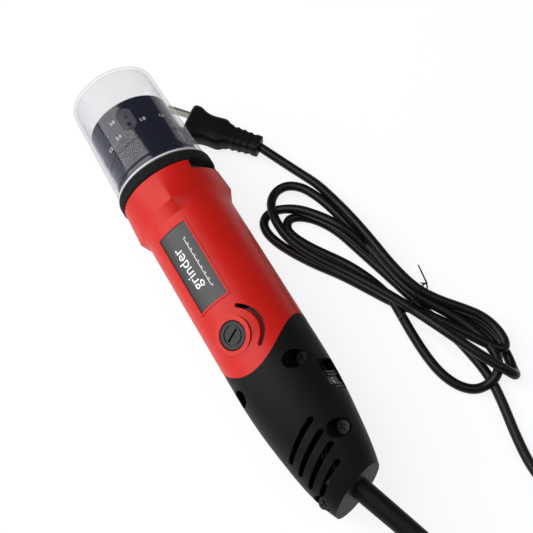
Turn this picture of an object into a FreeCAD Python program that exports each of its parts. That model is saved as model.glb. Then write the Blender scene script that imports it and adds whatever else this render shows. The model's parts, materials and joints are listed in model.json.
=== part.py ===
import FreeCAD, Part
import math
import os

# Handheld disc grinder with a clear cover, in millimetres.
# Tool frame: +Y runs along the spindle to the nose, +Z to the brush cap and label,
# +X to the slide switch. The origin is on the spindle axis, in the middle of the bumper ring.
# The finished tool is then laid on its side on a table, as `resting` says.

V = FreeCAD.Vector
os.makedirs("parts", exist_ok=True)

# ---- fits and gaps
running_gap = 0.05      # radial, between parts that turn on each other
moving_gap = 0.6        # between parts that pass each other
seat_gap = 0.2          # between parts that are pushed together
fit_gap = 0.1           # between parts that are fixed together

# ---- bumper ring and collar
ring_radius = 30.5
ring_front = 4.0
ring_back = -3.4
ring_shoulder = 1.8
collar_front_radius = 29.8
collar_mid = 27.4        # axis to the middle of a facet
collar_corner = 31.0     # axis to a corner
collar_corner_round = 3.2
collar_turn = 22.0       # a corner's angle from the brush cap, towards the switch
collar_square_y = -22.5
collar_back_y = -29.8
window_half_angle = 28.0
window_height = 6.0

# ---- motor housing
body_radius = 27.3
body_wall = 3.0
join_valley_y = -111.0   # housing ends here at the switch side
join_tongue_y = -129.0   # and here at the brush caps
label_length = 49.0
label_width = 19.6
label_y = -61.0
label_thickness = 0.4
frame_rim = 1.2
frame_proud = 0.45
window_corner = 2.0

# ---- brush gear
brush_y = -106.7
cap_radius = 8.0
cap_top = 27.2
cap_head = 2.2
cap_neck_radius = 5.8
boss_radius = 10.8
boss_top = 27.5
arc_vent_radius = 16.0
arc_vent_width = 2.4
arc_vent_half_angle = 50.0
cap_edge = 0.5
cap_ring = (5.6, 4.9, 0.7)       # outer radius, inner radius, depth of the ring cut in its face
cap_slot = (8.4, 1.4, 1.2)       # length, width, depth
cap_slot_turn = 20.0
cap_hollow_radius = 4.7
cap_face = 0.8
cap_neck_bottom = 18.8
brush_size = (5.0, 8.0, 7.6)     # across, along the spindle, towards it
brush_gap = 0.3                  # between a new brush and the commutator
holder_wall = 0.9
holder_span = (11.0, 18.6)       # how far from the axis it starts and ends
spring_wire = 0.3
spring_radius = 1.9
spring_turns = 6
frame_plate_half = 5.0
frame_ring_wall = 2.2
frame_hole_radius = 3.6
frame_hole_circle = 16.5
frame_arm_x = 6.8
frame_arm_half = 1.6

# ---- handle
handle_wall = 2.6
handle_end_wall = 3.6
handle_end_y = -206.5
handle_end_turn = 22.0
handle_profile = [(27.3, -100.0), (27.2, -125.0), (26.9, -142.0), (25.5, -160.0),
                  (23.7, -174.0), (20.0, -195.0), (16.6, -206.0), (13.0, -214.0)]
vent_count = 4
vent_pitch = 7.7
vent_first_y = -171.4
vent_length = 28.5
vent_width = 2.9
vent_slope = 26.0
vent_last_shorter = 6.0
screw_places = [(19.0, -134.5), (-19.0, -134.5), (18.0, -176.0), (-13.2, -202.0)]
screw_recess_radius = 4.9
screw_floor = 6.0
screw_radius = 2.0
screw_head_radius = 3.6
screw_head = 2.4
screw_cross = (4.4, 0.9, 1.2)    # length, width, depth
screw_depth = 5.4                # below the halves' parting plane
boss_wall = 1.0

# ---- slide switch
switch_front_y = -139.8
switch_back_y = -158.0
switch_width = 18.0
switch_floor = 21.5
switch_travel = 6.0
slider_length = 11.5
slider_width = 13.0
slider_top = 25.0
slider_off_y = -151.8    # middle of the slider when it is off
ridge_places = (-4.6, -2.9, 2.9, 4.6)    # from the slider's middle
ridge_width = 0.8
switch_flange = 2.0
switch_case_half = 7.0
switch_case_inner = 8.0
track_half_width = 2.2
stem_half_width = 1.8
stem_half_length = 2.0
slider_ridge = 1.2

# ---- head
flange_radius = 26.8
flange_edge = 0.6
flange_back = 4.1
flange_front = 8.2
spigot_radius = 26.3
spigot_front = 13.5
seal_section = 1.2
seal_y = 11.0
seal_ring_radius = spigot_radius - 0.8
head_radius = 25.15
head_split_y = 24.0
head_top_y = 52.0
head_roof = 4.0
head_edge = 1.2
head_groove = (0.4, 0.8)         # depth and width of the line between guide and base
head_bore = 21.6
base_floor_front = 16.0
base_floor_back = 12.0
collar_seat_radius = 22.2
collar_seat_length = 4.0
dust_pocket_radius = 20.9
port_turn = 25.0         # the port's angle from the brush cap, towards the switch
port_y = 39.4
port_length = 16.0
port_width = 9.5
port_plate_thickness = 1.6
port_recess = 0.7
port_hole_radius = 1.15
port_hole_offset = 3.8
port_shoulder_radius = 2.9
port_tab = (2.0, 1.6, 0.6)       # across, along the spindle, height
guide_y = 30.5
guide_tilt = 35.0
guide_holes = [(0.55, 60.0), (0.85, 105.0), (1.25, -40.0), (1.65, -75.0)]   # radius, angle from the port

# ---- clear cover
cover_rim_y = ring_front + seat_gap
cover_end_y = 75.5
cover_rim_radius = 28.9
cover_end_radius = 27.2
cover_wall = 1.9
cover_lip = 0.6
cover_lip_width = 2.2
cover_round = 5.0

# ---- spindle, motor and disc
spindle_radius = 4.0
spindle_front = 21.0
spindle_back = -127.0
spindle_thread_radius = 1.7
spindle_thread_depth = 9.0
bearing_outer = 11.0
bearing_width = 7.0
bearing_ball = 1.7
bearing_balls = 7
race_outer_wall = 2.0
race_inner_wall = 1.7
front_bearing_y = -10.5
rear_bearing_y = -120.5
carrier_front = -3.0
carrier_back = -16.0
carrier_mouth_radius = 6.5
carrier_vent_radius = 2.6
carrier_vent_circle = 18.5
head_screw_circle = 17.0
head_screw_radius = 1.2
head_screw_head_radius = 2.7
head_screw_head = 3.0
head_screw_socket = (1.3, 1.8)   # radius, depth
head_screw_reach = 8.0           # into the bearing carrier
hub_radius = 7.0
hub_back = 12.6
hub_front = 25.0
hub_nose = 1.4
hub_neck = 0.8
hub_neck_length = 6.0
hub_flange = 1.5
disc_radius = 20.0
disc_thickness = 2.0
disc_bore = 2.75
disc_sink_radius = 5.0
disc_bevel = 0.6
disc_sink_slope = 0.55
disc_screw_radius = 1.6
disc_screw_reach = 8.0
disc_screw_face = 0.5
hex_size = 1.5
hex_depth = 1.7
rotor_radius = 12.9
rotor_front = -40.0
rotor_back = -82.0
rotor_slots = 10
rotor_end_turns = 5.5
rotor_slot = (1.8, 6.0)          # width, depth
rotor_air_gap = 0.7
winding_gap = 1.5
commutator_radius = 9.0
commutator_front = -99.0
commutator_back = -113.0
commutator_bars = 16
commutator_cut = (0.5, 0.8)      # width, depth of the cut between bars
riser_height = 0.9
riser_length = 2.0
stator_outer = 23.6
stator_yoke = 4.0
pole_half_width = 11.0
coil_gap = 0.4
coil_overhang = 6.5
fan_radius = 21.4
fan_front = -21.0
fan_back = -30.0
fan_blades = 9
fan_hub_radius = 7.5
fan_plate = 1.4
fan_blade_half = 0.6
fan_blade_lean = 18.0

# ---- cord
cord_diameter = 5.8
sleeve_base_radius = 5.9
sleeve_tip_radius = 4.6
sleeve_length = 60.0
sleeve_offset = 4.2
sleeve_turn = 18.7        # in the plane of the table
sleeve_flange_radius = 7.6
sleeve_flange = (0.2, 4.0)       # where it starts and ends, behind the handle's end wall
clamp_place = (10.0, 15.0)       # along the cord, measured in from the handle's end face
clamp_half_width = 9.0
clamp_height = (1.0, 4.6)        # above the cord's middle
clamp_screw_x = 6.2
clamp_post_radius = 2.4
clamp_screw_radius = 1.1
clamp_screw_head = (2.0, 1.6)    # radius, height
clamp_screw_depth = 7.0
cord_bare_end = 18.0             # where the sheath ends, inside the handle
wire_radius = 0.9
wire_side = 1.3                  # from the cord's middle to a wire's

# ---- how the tool lies: rolled over its spindle axis and nose up
rest_roll = -35.0
rest_tilt = 1.1

# ---- the free cord, as it lies on the table; its route starts at the sleeve's tip
tail_points = [(28.0, -209.34, 27.85), (34.6, -224.9, 22.6), (46.5, -236.2, 16.6), (62.5, -240.6, 10.8),
               (78.5, -237.0, 6.4), (91.0, -226.4, 3.9), (97.2, -211.4, 3.0), (97.5, -193.0, 3.0),
               (95.0, -173.0, 3.0), (98.5, -153.0, 3.0), (103.5, -134.0, 3.2), (107.0, -119.0, 4.0)]
plug_points = [(68.2, 78.6, 7.5), (72.6, 66.5, 6.8), (78.0, 52.5, 5.6), (83.6, 38.5, 5.0), (89.2, 24.5, 6.2),
               (92.2, 10.5, 8.6)]
hank_outline = [(66, 50), (56.5, 49), (50, 42), (43, 38.5), (39, 31.5), (39.5, 22), (45.5, 6.5), (54.5, -9),
                (64.5, -23), (74, -38), (80.5, -53), (80, -66), (77.5, -86), (79, -103), (85, -116.5),
                (94.5, -123.5), (105, -124.5), (113.5, -128.5), (121, -128.5), (125.5, -119), (128, -104),
                (124, -85), (113, -70), (104.5, -58), (100, -40), (97, -16), (94.5, 6), (91, 22), (85, 35),
                (77, 45)]
hank_height = 18.0
tie_middle = (92.6, -59.6)
tie_turn = 18.8                  # across the hank's waist
tie_half_width = 14.6
tie_wire_radius = 0.6
tie_corner = 1.5
tie_end_length = 20.0
tie_end_way = (0.35, 0.9, 0.05)

# ---- plug
plug_face = V(37.2, 116.4, 7.5)
plug_width = 27.0
plug_height = 15.0
plug_head_length = 21.0
plug_head_round = 3.5
plug_grip_width = 15.0
plug_grip_height = 12.0
plug_grip_round = 3.0
blade_pitch = 12.7
blade_size = (1.5, 16.0, 6.3)    # thickness, length out of the plug, width


def turned(outline):
    """A closed outline of (radius, y) points, turned about the spindle axis."""
    points = [V(r, y, 0) for r, y in outline]
    wire = Part.makePolygon(points + [points[0]])
    return Part.Face(wire).revolve(V(0, 0, 0), V(0, 1, 0), 360)


def rod(radius, start, end, x=0.0, z=0.0):
    """A cylinder along the spindle axis, from y = start to y = end."""
    low, high = min(start, end), max(start, end)
    return Part.makeCylinder(radius, high - low, V(x, low, z), V(0, 1, 0))


def tube(outer, inner, start, end):
    """A hollow cylinder along the spindle axis."""
    low, high = min(start, end), max(start, end)
    return rod(outer, low, high).cut(rod(inner, low - 1, high + 1))


def block(x, y, z):
    """A box from three (low, high) pairs."""
    return Part.makeBox(x[1] - x[0], y[1] - y[0], z[1] - z[0], V(x[0], y[0], z[0]))


def post(radius, x, y, low, high):
    """A cylinder along +Z."""
    return Part.makeCylinder(radius, high - low, V(x, y, low), V(0, 0, 1))


def spun(shape, degrees):
    """A copy turned about the spindle axis, from +Z towards +X."""
    copy = shape.copy()
    copy.rotate(V(0, 0, 0), V(0, 1, 0), degrees)
    return copy


def around(shape, count):
    """Copies evenly spaced about the spindle axis, as one compound."""
    return Part.makeCompound([spun(shape, 360.0 * i / count) for i in range(count)])


def merged(shapes):
    return shapes[0].multiFuse(shapes[1:]).removeSplitter()


# ---- shared outlines

def collar_section(mid, corner, y, split):
    """A rounded square of four bowed facets: mid is a facet's distance, corner a corner's."""
    bow = corner - collar_corner_round
    flat = mid - collar_corner_round
    if corner - mid < 1e-6:
        centre, radius = 0.0, mid
    else:
        centre = (bow ** 2 - flat ** 2) / (2 * flat - math.sqrt(2) * bow)
        radius = mid + centre

    def on_facet(turn, angle):
        """The facet's point at a polar angle from its middle."""
        reach = -centre * math.cos(angle) + math.sqrt(radius ** 2 - (centre * math.sin(angle)) ** 2)
        return V(reach * math.sin(turn + angle), y, reach * math.cos(turn + angle))

    edges = []
    for i in range(4):
        turn = math.radians(collar_turn + 45 + 90 * i)
        edges.append(Part.Arc(on_facet(turn, -split), on_facet(turn, 0), on_facet(turn, split)).toShape())
        tip = turn + math.radians(45)
        edges.append(Part.Arc(on_facet(turn, split), V(corner * math.sin(tip), y, corner * math.cos(tip)),
                              on_facet(turn + math.radians(90), -split)).toShape())
    return Part.Wire(edges)


def collar_split():
    """The polar angle, from a facet's middle, where its bow meets the corner's round."""
    bow = collar_corner - collar_corner_round
    flat = collar_mid - collar_corner_round
    centre = (bow ** 2 - flat ** 2) / (2 * flat - math.sqrt(2) * bow)
    radius = collar_mid + centre
    lean = math.atan2(bow / math.sqrt(2), centre + bow / math.sqrt(2))
    return math.atan2(radius * math.sin(lean), radius * math.cos(lean) - centre)


def join_cutter(gap):
    """All that lies behind the curved joint line of housing and handle, moved back by gap."""
    reach = body_radius + 6
    depth = join_valley_y - join_tongue_y
    far = join_valley_y - depth * (reach / body_radius) ** 2 - gap
    middle = 2 * (join_valley_y - gap) - far
    curve = Part.BezierCurve()
    curve.setPoles([V(-reach, far, -reach), V(-reach, middle, 0), V(-reach, far, reach)])
    back = handle_end_y - 40
    sides = Part.makePolygon([V(-reach, far, reach), V(-reach, back, reach), V(-reach, back, -reach),
                              V(-reach, far, -reach)])
    return Part.Face(Part.Wire([curve.toShape()] + sides.Edges)).extrude(V(2 * reach, 0, 0))


def handle_form(inset, front, back):
    """The handle's turned form, taken in by inset, between two stations."""
    curve = Part.BSplineCurve()
    curve.interpolate([V(r - inset, y, 0) for r, y in handle_profile])
    first, last = handle_profile[0], handle_profile[-1]
    rest = Part.makePolygon([V(last[0] - inset, last[1], 0), V(0, last[1], 0), V(0, first[1], 0),
                             V(first[0] - inset, first[1], 0)])
    form = Part.Face(Part.Wire([curve.toShape()] + rest.Edges)).revolve(V(0, 0, 0), V(0, 1, 0), 360)
    reach = 2 * body_radius
    return form.common(block((-reach, reach), (back, front), (-reach, reach)))


def end_cutter(inward):
    """All that lies behind the slanted end face, or a face inward of it."""
    size = 80.0
    cutter = block((-size, size), (-size, 0), (-size, size))
    cutter.rotate(V(0, 0, 0), V(0, 0, 1), handle_end_turn)
    cutter.translate(V(0, handle_end_y + inward / math.cos(math.radians(handle_end_turn)), 0))
    return cutter


bore_radius = body_radius - body_wall
cord_radius = cord_diameter / 2
nodes = {}


# ---- motor housing

def arc_vent(side):
    """The curved slot beside a brush cap, cut along Z through the wall."""
    inner = arc_vent_radius - arc_vent_width / 2
    outer = arc_vent_radius + arc_vent_width / 2
    low, high = sorted((side * 12.0, side * (body_radius + 4)))
    sweep = 2 * arc_vent_half_angle
    ring = (Part.makeCylinder(outer, high - low, V(0, brush_y, low), V(0, 0, 1), sweep)
            .cut(Part.makeCylinder(inner, high - low, V(0, brush_y, low), V(0, 0, 1), 360)))
    ring.rotate(V(0, brush_y, 0), V(0, 0, 1), -arc_vent_half_angle)
    ends = [post(arc_vent_width / 2, arc_vent_radius * math.cos(math.radians(a)),
                 brush_y + arc_vent_radius * math.sin(math.radians(a)), low, high)
            for a in (-arc_vent_half_angle, arc_vent_half_angle)]
    return merged([ring] + ends)


def label_patch(inner, outer, grow):
    """The part of a shell between two radii that a label-sized window covers."""
    half_x, half_y = label_width / 2 + grow, label_length / 2 + grow
    shell = tube(outer, inner, label_y + half_y, label_y - half_y)
    return shell.common(block((-half_x, half_x), (label_y - half_y, label_y + half_y), (0, 2 * outer)))


def motor_housing():
    split = collar_split()
    collar = Part.makeLoft([collar_section(collar_front_radius, collar_front_radius, ring_back, split),
                            collar_section(collar_mid, collar_corner, collar_square_y, split),
                            collar_section(body_radius, body_radius, collar_back_y, split)], True, True)
    body = rod(body_radius, collar_back_y, handle_end_y)
    boss = post(boss_radius, 0, brush_y, bore_radius - 4, boss_top)
    other_boss = post(boss_radius, 0, brush_y, -boss_top, -bore_radius + 4)
    rim = label_patch(body_radius - 1, body_radius + frame_proud, frame_rim)
    shape = merged([collar, body, boss, other_boss, rim])
    shape = shape.cut(join_cutter(0.0))
    shape = shape.cut(rod(bore_radius, ring_back + 1, handle_end_y))
    shape = shape.cut(label_patch(body_radius - label_thickness - fit_gap, body_radius + 3, fit_gap))
    window_reach = collar_front_radius * math.sin(math.radians(window_half_angle))
    window = block((bore_radius - 6, collar_corner + 2), (ring_back - window_height, ring_back + 1),
                   (-window_reach, window_reach))
    lower_edges = [e for e in window.Edges if abs(e.CenterOfMass.y - (ring_back - window_height)) < 0.01
                   and e.CenterOfMass.x > bore_radius - 5 and abs(e.CenterOfMass.z) > 1]
    shape = shape.cut(window.makeFillet(window_corner, lower_edges))
    for side in (1, -1):
        low, high = sorted((side * 10.0, side * 40.0))
        shape = shape.cut(post(cap_neck_radius + seat_gap, 0, brush_y, low, high))
        seat = cap_top - cap_head
        low, high = sorted((side * seat, side * 40.0))
        shape = shape.cut(post(cap_radius + seat_gap, 0, brush_y, low, high))
        shape = shape.cut(arc_vent(side))
    return shape


def label_plate():
    return label_patch(body_radius - label_thickness, body_radius, 0.0)


nodes["motor_housing"] = motor_housing()
nodes["label_plate"] = label_plate()


# ---- bumper ring

def bumper_ring():
    inner = bore_radius
    blank = tube(ring_radius, inner, ring_front, ring_back)
    rims = [e for e in blank.Edges if isinstance(e.Curve, Part.Circle) and e.Curve.Radius > inner + 1]
    return blank.makeFillet(ring_shoulder, rims)


nodes["bumper_ring"] = bumper_ring()


# ---- handle, in two halves that meet at z = 0

def vent_slots():
    slots = []
    for i in range(vent_count):
        length = vent_length - (vent_last_shorter if i == vent_count - 1 else 0)
        half = length / 2 - vent_width / 2
        y = vent_first_y - vent_pitch * i
        slot = merged([block((-half, half), (-vent_width / 2, vent_width / 2), (2, 40)),
                       post(vent_width / 2, -half, 0, 2, 40), post(vent_width / 2, half, 0, 2, 40)])
        slot.rotate(V(0, 0, 0), V(0, 0, 1), vent_slope)
        slot.translate(V(-0.6 + 0.5 * i, y, 0))
        slots.append(slot)
    return slots


def sleeve_placed(shape):
    """Takes a shape built along -Y from the origin to the sleeve's place in the handle's end."""
    slope = math.tan(math.radians(handle_end_turn))
    upright = V(-math.sin(math.radians(rest_roll)), 0, math.cos(math.radians(rest_roll)))
    copy = shape.copy()
    copy.rotate(V(0, 0, 0), upright, sleeve_turn)
    copy.translate(V(sleeve_offset, handle_end_y + sleeve_offset * slope, 0))
    return copy


def clamp_posts():
    """The two posts that the cord clamp is screwed down on, in the lower half."""
    middle = sum(clamp_place) / 2
    top, both = clamp_height[0], (-clamp_screw_x, clamp_screw_x)
    posts = [post(clamp_post_radius, x, middle, -40, top) for x in both]
    holes = [post(clamp_screw_radius, x, middle, top - clamp_screw_depth - 1, top + 1) for x in both]
    return [sleeve_placed(shape) for shape in posts], [sleeve_placed(shape) for shape in holes]


def handle_half(side):
    form_end = handle_profile[-1][1]
    outer = handle_form(0.0, join_valley_y + 2, form_end).cut(end_cutter(0.0))
    inner = handle_form(handle_wall, join_valley_y + 3, form_end + 1).cut(end_cutter(handle_end_wall))
    inner = inner.common(rod(bore_radius, join_valley_y + 3, handle_end_y - 20))
    shape = outer.cut(inner)
    pillar = screw_recess_radius + boss_wall
    pillars = [post(pillar, x, y, -40, 40).common(outer) for x, y in screw_places]
    shape = merged([shape] + pillars)
    shape = shape.common(join_cutter(seat_gap))
    low, high = sorted((0.0, side * 40.0))
    shape = shape.common(block((-40, 40), (handle_end_y - 20, 0), (low, high)))
    shape = shape.cut(block((switch_floor - fit_gap, 40), (switch_back_y, switch_front_y),
                            (-switch_width / 2, switch_width / 2)))
    shape = shape.cut(block((0, switch_floor), (switch_back_y - 1, switch_front_y + 1),
                            (-switch_width / 2, switch_width / 2)))
    shape = shape.cut(sleeve_placed(rod(sleeve_base_radius + fit_gap, 20, -20)))
    shape = shape.cut(sleeve_placed(rod(sleeve_flange_radius + fit_gap, handle_end_wall,
                                        handle_end_wall + sleeve_flange[1] + 1)))
    if side > 0:
        for x, y in screw_places:
            shape = shape.cut(post(screw_recess_radius, x, y, screw_floor, 40))
            shape = shape.cut(post(screw_radius + fit_gap, x, y, -1, 40))
        for slot in vent_slots():
            shape = shape.cut(slot)
    else:
        for x, y in screw_places:
            shape = shape.cut(post(screw_radius, x, y, -screw_depth - fit_gap, 1))
        posts, holes = clamp_posts()
        shape = merged([shape] + [shape_of_post.common(outer) for shape_of_post in posts])
        for hole in holes:
            shape = shape.cut(hole)
    return shape


def handle_screws():
    screws = []
    top = screw_floor + screw_head
    length, width, depth = screw_cross
    for x, y in screw_places:
        head = post(screw_head_radius, x, y, screw_floor, top)
        shank = post(screw_radius, x, y, -screw_depth, screw_floor)
        screw = head.fuse(shank)
        for turn in (0, 90):
            cross = block((-length / 2, length / 2), (-width / 2, width / 2), (top - depth, top + 1))
            cross.rotate(V(0, 0, 0), V(0, 0, 1), turn)
            cross.translate(V(x, y, 0))
            screw = screw.cut(cross)
        screws.append(screw)
    return Part.makeCompound(screws)


nodes["handle_upper_half"] = handle_half(1)
nodes["handle_lower_half"] = handle_half(-1)
nodes["handle_screws"] = handle_screws()


# ---- slide switch

def switch_body():
    middle = (switch_front_y + switch_back_y) / 2
    half, flange = switch_case_half, switch_floor - switch_flange
    bezel = block((flange, switch_floor - fit_gap), (switch_back_y + fit_gap, switch_front_y - fit_gap),
                  (-switch_width / 2 + fit_gap, switch_width / 2 - fit_gap))
    case = block((switch_case_inner, flange), (middle - half, middle + half), (-half, half))
    shape = bezel.fuse(case)
    spare = stem_half_length + 1
    track = block((switch_floor - 4, switch_floor + 1),
                  (slider_off_y - spare, slider_off_y + switch_travel + spare),
                  (-track_half_width, track_half_width))
    return shape.cut(track).removeSplitter()


def switch_slider():
    half_y, half_z = slider_length / 2, slider_width / 2
    base_top = slider_top - slider_ridge
    back = slider_off_y - half_y
    pad = block((switch_floor + seat_gap, base_top), (back, slider_off_y + half_y), (-half_z, half_z))
    pad = pad.makeFillet(slider_ridge / 2, [e for e in pad.Edges if abs(e.CenterOfMass.x - base_top) < 0.01])
    stem = block((switch_floor - 3.5, switch_floor + 1),
                 (slider_off_y - stem_half_length, slider_off_y + stem_half_length),
                 (-stem_half_width, stem_half_width))
    middles = [slider_off_y + place for place in ridge_places]
    ridges = [block((base_top - 0.5, slider_top), (y - ridge_width / 2, y + ridge_width / 2),
                    (-half_z + slider_ridge, half_z - slider_ridge)) for y in middles]
    return merged([pad, stem] + ridges)


nodes["switch_body"] = switch_body()
nodes["switch_slider"] = switch_slider()


# ---- brush gear

def brush_frame():
    """The moulded plate that holds the rear bearing and, in a ring, the brush holders."""
    outer = bore_radius - fit_gap
    half = frame_plate_half
    plate = tube(outer, bearing_outer, rear_bearing_y - half, rear_bearing_y + half)
    ring = tube(outer, outer - frame_ring_wall, rear_bearing_y + half - 1, brush_y + 9)
    shape = plate.fuse(ring)
    shape = shape.cut(post(cap_neck_radius + seat_gap, 0, brush_y, -40, 40))
    for i in range(4):
        hole = rod(frame_hole_radius, rear_bearing_y - half - 1, rear_bearing_y + half + 1,
                   frame_hole_circle, 0)
        shape = shape.cut(spun(hole, 45 + 90 * i))
    for side in (1, -1):
        for x in (-frame_arm_x, frame_arm_x):
            low, high = sorted((side * (holder_span[0] + 1), side * holder_span[1]))
            arm = block((x - frame_arm_half, x + frame_arm_half),
                        (rear_bearing_y + half - 1, brush_y + half - 1), (low, high))
            shape = shape.fuse(arm)
    return shape.removeSplitter()


def both_sides(shape):
    return Part.makeCompound([shape, shape.mirror(V(0, 0, 0), V(0, 0, 1))])


def brush_holder():
    x, y = brush_size[0] / 2 + fit_gap, brush_size[1] / 2 + fit_gap
    wall_x, wall_y = x + holder_wall, y + holder_wall
    sleeve = block((-wall_x, wall_x), (brush_y - wall_y, brush_y + wall_y), holder_span)
    return sleeve.cut(block((-x, x), (brush_y - y, brush_y + y), (0, 40)))


def carbon_brush():
    x, y = brush_size[0] / 2, brush_size[1] / 2
    low = commutator_radius + brush_gap
    return block((-x, x), (brush_y - y, brush_y + y), (low, low + brush_size[2]))


def brush_spring():
    low = commutator_radius + brush_gap + brush_size[2] + spring_wire + running_gap
    high = cap_top - cap_head - cap_face - spring_wire
    helix = Part.makeHelix((high - low) / spring_turns, high - low, spring_radius)
    section = Part.Wire(Part.makeCircle(spring_wire, V(spring_radius, 0, 0), V(0, 1, 0)))
    spring = Part.Wire(helix.Edges).makePipeShell([section], True, True)
    spring.translate(V(0, brush_y, low))
    return spring


def brush_cap():
    seat = cap_top - cap_head
    head = post(cap_radius, 0, brush_y, seat, cap_top)
    rim = [e for e in head.Edges
           if isinstance(e.Curve, Part.Circle) and abs(e.CenterOfMass.z - cap_top) < 0.01]
    head = head.makeChamfer(cap_edge, rim)
    neck = post(cap_neck_radius, 0, brush_y, cap_neck_bottom, seat)
    shape = head.fuse(neck)
    ring_outer, ring_inner, ring_depth = cap_ring
    groove = post(ring_outer, 0, brush_y, cap_top - ring_depth, cap_top + 1)
    groove = groove.cut(post(ring_inner, 0, brush_y, cap_top - 2, cap_top + 2))
    length, width, depth = cap_slot
    slot = block((-length / 2, length / 2), (-width / 2, width / 2), (cap_top - depth, cap_top + 1))
    slot.rotate(V(0, 0, 0), V(0, 0, 1), cap_slot_turn)
    slot.translate(V(0, brush_y, 0))
    hollow = post(cap_hollow_radius, 0, brush_y, 10, seat - cap_face)
    return shape.cut(groove).cut(slot).cut(hollow)


nodes["brush_frame"] = brush_frame()
nodes["brush_holders"] = both_sides(brush_holder())
nodes["carbon_brushes"] = both_sides(carbon_brush())
nodes["brush_springs"] = both_sides(brush_spring())
upper_cap = brush_cap()
nodes["brush_cap_upper"] = upper_cap
nodes["brush_cap_lower"] = upper_cap.mirror(V(0, 0, 0), V(0, 0, 1))


# ---- bearings

def race_groove(y):
    middle = (bearing_outer - race_outer_wall + spindle_radius + race_inner_wall) / 2
    return Part.makeTorus(middle, bearing_ball + running_gap, V(0, y, 0), V(0, 1, 0))


def bearing_outer_race(y):
    half = bearing_width / 2
    return tube(bearing_outer, bearing_outer - race_outer_wall, y + half, y - half).cut(race_groove(y))


def bearing_inner_race(y):
    half = bearing_width / 2
    return tube(spindle_radius + race_inner_wall, spindle_radius, y + half, y - half).cut(race_groove(y))


def bearing_ball_set(y):
    middle = (bearing_outer - race_outer_wall + spindle_radius + race_inner_wall) / 2
    ball = Part.makeSphere(bearing_ball, V(0, y, middle))
    return around(ball, bearing_balls)


def bearing_carrier():
    outer = bore_radius - fit_gap
    back_of_seat = front_bearing_y + bearing_width / 2
    disc = turned([(bearing_outer, carrier_back), (outer, carrier_back), (outer, carrier_front),
                   (carrier_mouth_radius, carrier_front), (carrier_mouth_radius, back_of_seat),
                   (bearing_outer, back_of_seat)])
    thread = rod(head_screw_radius + running_gap, carrier_front - head_screw_reach - 1, carrier_front + 1,
                 head_screw_circle, 0)
    vent = rod(carrier_vent_radius, carrier_back - 1, carrier_front + 1, carrier_vent_circle, 0)
    for i in range(4):
        disc = disc.cut(spun(thread, 45 + 90 * i))
        disc = disc.cut(spun(vent, 90 * i))
    return disc


for place, y in (("front", front_bearing_y), ("rear", rear_bearing_y)):
    nodes[place + "_bearing_outer_race"] = bearing_outer_race(y)
    nodes[place + "_bearing_inner_race"] = bearing_inner_race(y)
    nodes[place + "_bearing_balls"] = bearing_ball_set(y)
nodes["bearing_carrier"] = bearing_carrier()


# ---- motor

def stator_core():
    yoke = tube(stator_outer, stator_outer - stator_yoke, rotor_front, rotor_back)
    pole_inner = rotor_radius + rotor_air_gap
    poles = tube(stator_outer - stator_yoke + 1, pole_inner, rotor_front, rotor_back)
    poles = poles.common(block((-40, 40), (rotor_back, rotor_front), (-pole_half_width, pole_half_width)))
    return merged([yoke, poles])


def field_coils():
    outer = stator_outer - stator_yoke - coil_gap
    ring = tube(outer, rotor_radius + rotor_air_gap + moving_gap, rotor_front + coil_overhang,
                rotor_back - coil_overhang)
    half = pole_half_width + coil_gap
    return ring.cut(block((-40, 40), (rotor_back - fit_gap, rotor_front + fit_gap), (-half, half)))


def rotor_core():
    core = tube(rotor_radius, spindle_radius, rotor_front, rotor_back)
    width, depth = rotor_slot
    slot = block((-width / 2, width / 2), (rotor_back - 1, rotor_front + 1),
                 (rotor_radius - depth, rotor_radius + 1))
    return core.cut(around(slot, rotor_slots))


def rotor_windings():
    inner, outer = spindle_radius + winding_gap, rotor_radius - winding_gap
    bulge = [(inner, 0), (outer, 0), (outer - 0.6, rotor_end_turns - 1.5), (outer - 2.6, rotor_end_turns),
             (inner, rotor_end_turns)]
    front = turned([(r, rotor_front + y) for r, y in bulge])
    back = turned([(r, rotor_back - y) for r, y in bulge])
    return Part.makeCompound([front, back])


def commutator():
    drum = tube(commutator_radius, spindle_radius, commutator_front, commutator_back)
    riser_front = commutator_front + riser_length
    riser = tube(commutator_radius + riser_height, spindle_radius, riser_front, commutator_front)
    shape = drum.fuse(riser).removeSplitter()
    width, depth = commutator_cut
    cut = block((-width / 2, width / 2), (commutator_back - 1, riser_front + 1),
                (commutator_radius - depth, commutator_radius + riser_height + 1))
    return shape.cut(around(cut, commutator_bars))


def cooling_fan():
    hub = tube(fan_hub_radius, spindle_radius, fan_front, fan_back)
    root = fan_hub_radius - 0.3
    plate = tube(fan_radius, root, fan_back + fan_plate, fan_back)
    blade = block((-fan_blade_half, fan_blade_half), (fan_back + fan_plate / 2, fan_front),
                  (root, fan_radius - 0.3))
    blade.rotate(V(0, 0, root), V(0, 1, 0), fan_blade_lean)
    return merged([hub, plate] + [spun(blade, 360.0 * i / fan_blades) for i in range(fan_blades)])


def spindle():
    thread = rod(spindle_thread_radius, spindle_front - spindle_thread_depth, spindle_front + 1)
    return rod(spindle_radius, spindle_front, spindle_back).cut(thread)


nodes["stator_core"] = stator_core()
nodes["field_coils"] = field_coils()
nodes["rotor_core"] = rotor_core()
nodes["rotor_windings"] = rotor_windings()
nodes["commutator"] = commutator()
nodes["cooling_fan"] = cooling_fan()
nodes["spindle"] = spindle()


# ---- disc, hub and screw

def disc_hub():
    neck, flange, nose = hub_radius - hub_neck, hub_radius + hub_flange, disc_bore - fit_gap
    bore, tip = spindle_thread_radius + running_gap, hub_front + hub_nose
    return turned([(spindle_radius, hub_back), (neck, hub_back), (neck, hub_back + hub_neck_length),
                   (flange, hub_back + hub_neck_length), (flange, hub_front), (nose, hub_front), (nose, tip),
                   (bore, tip), (bore, spindle_front), (spindle_radius, spindle_front)])


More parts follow.
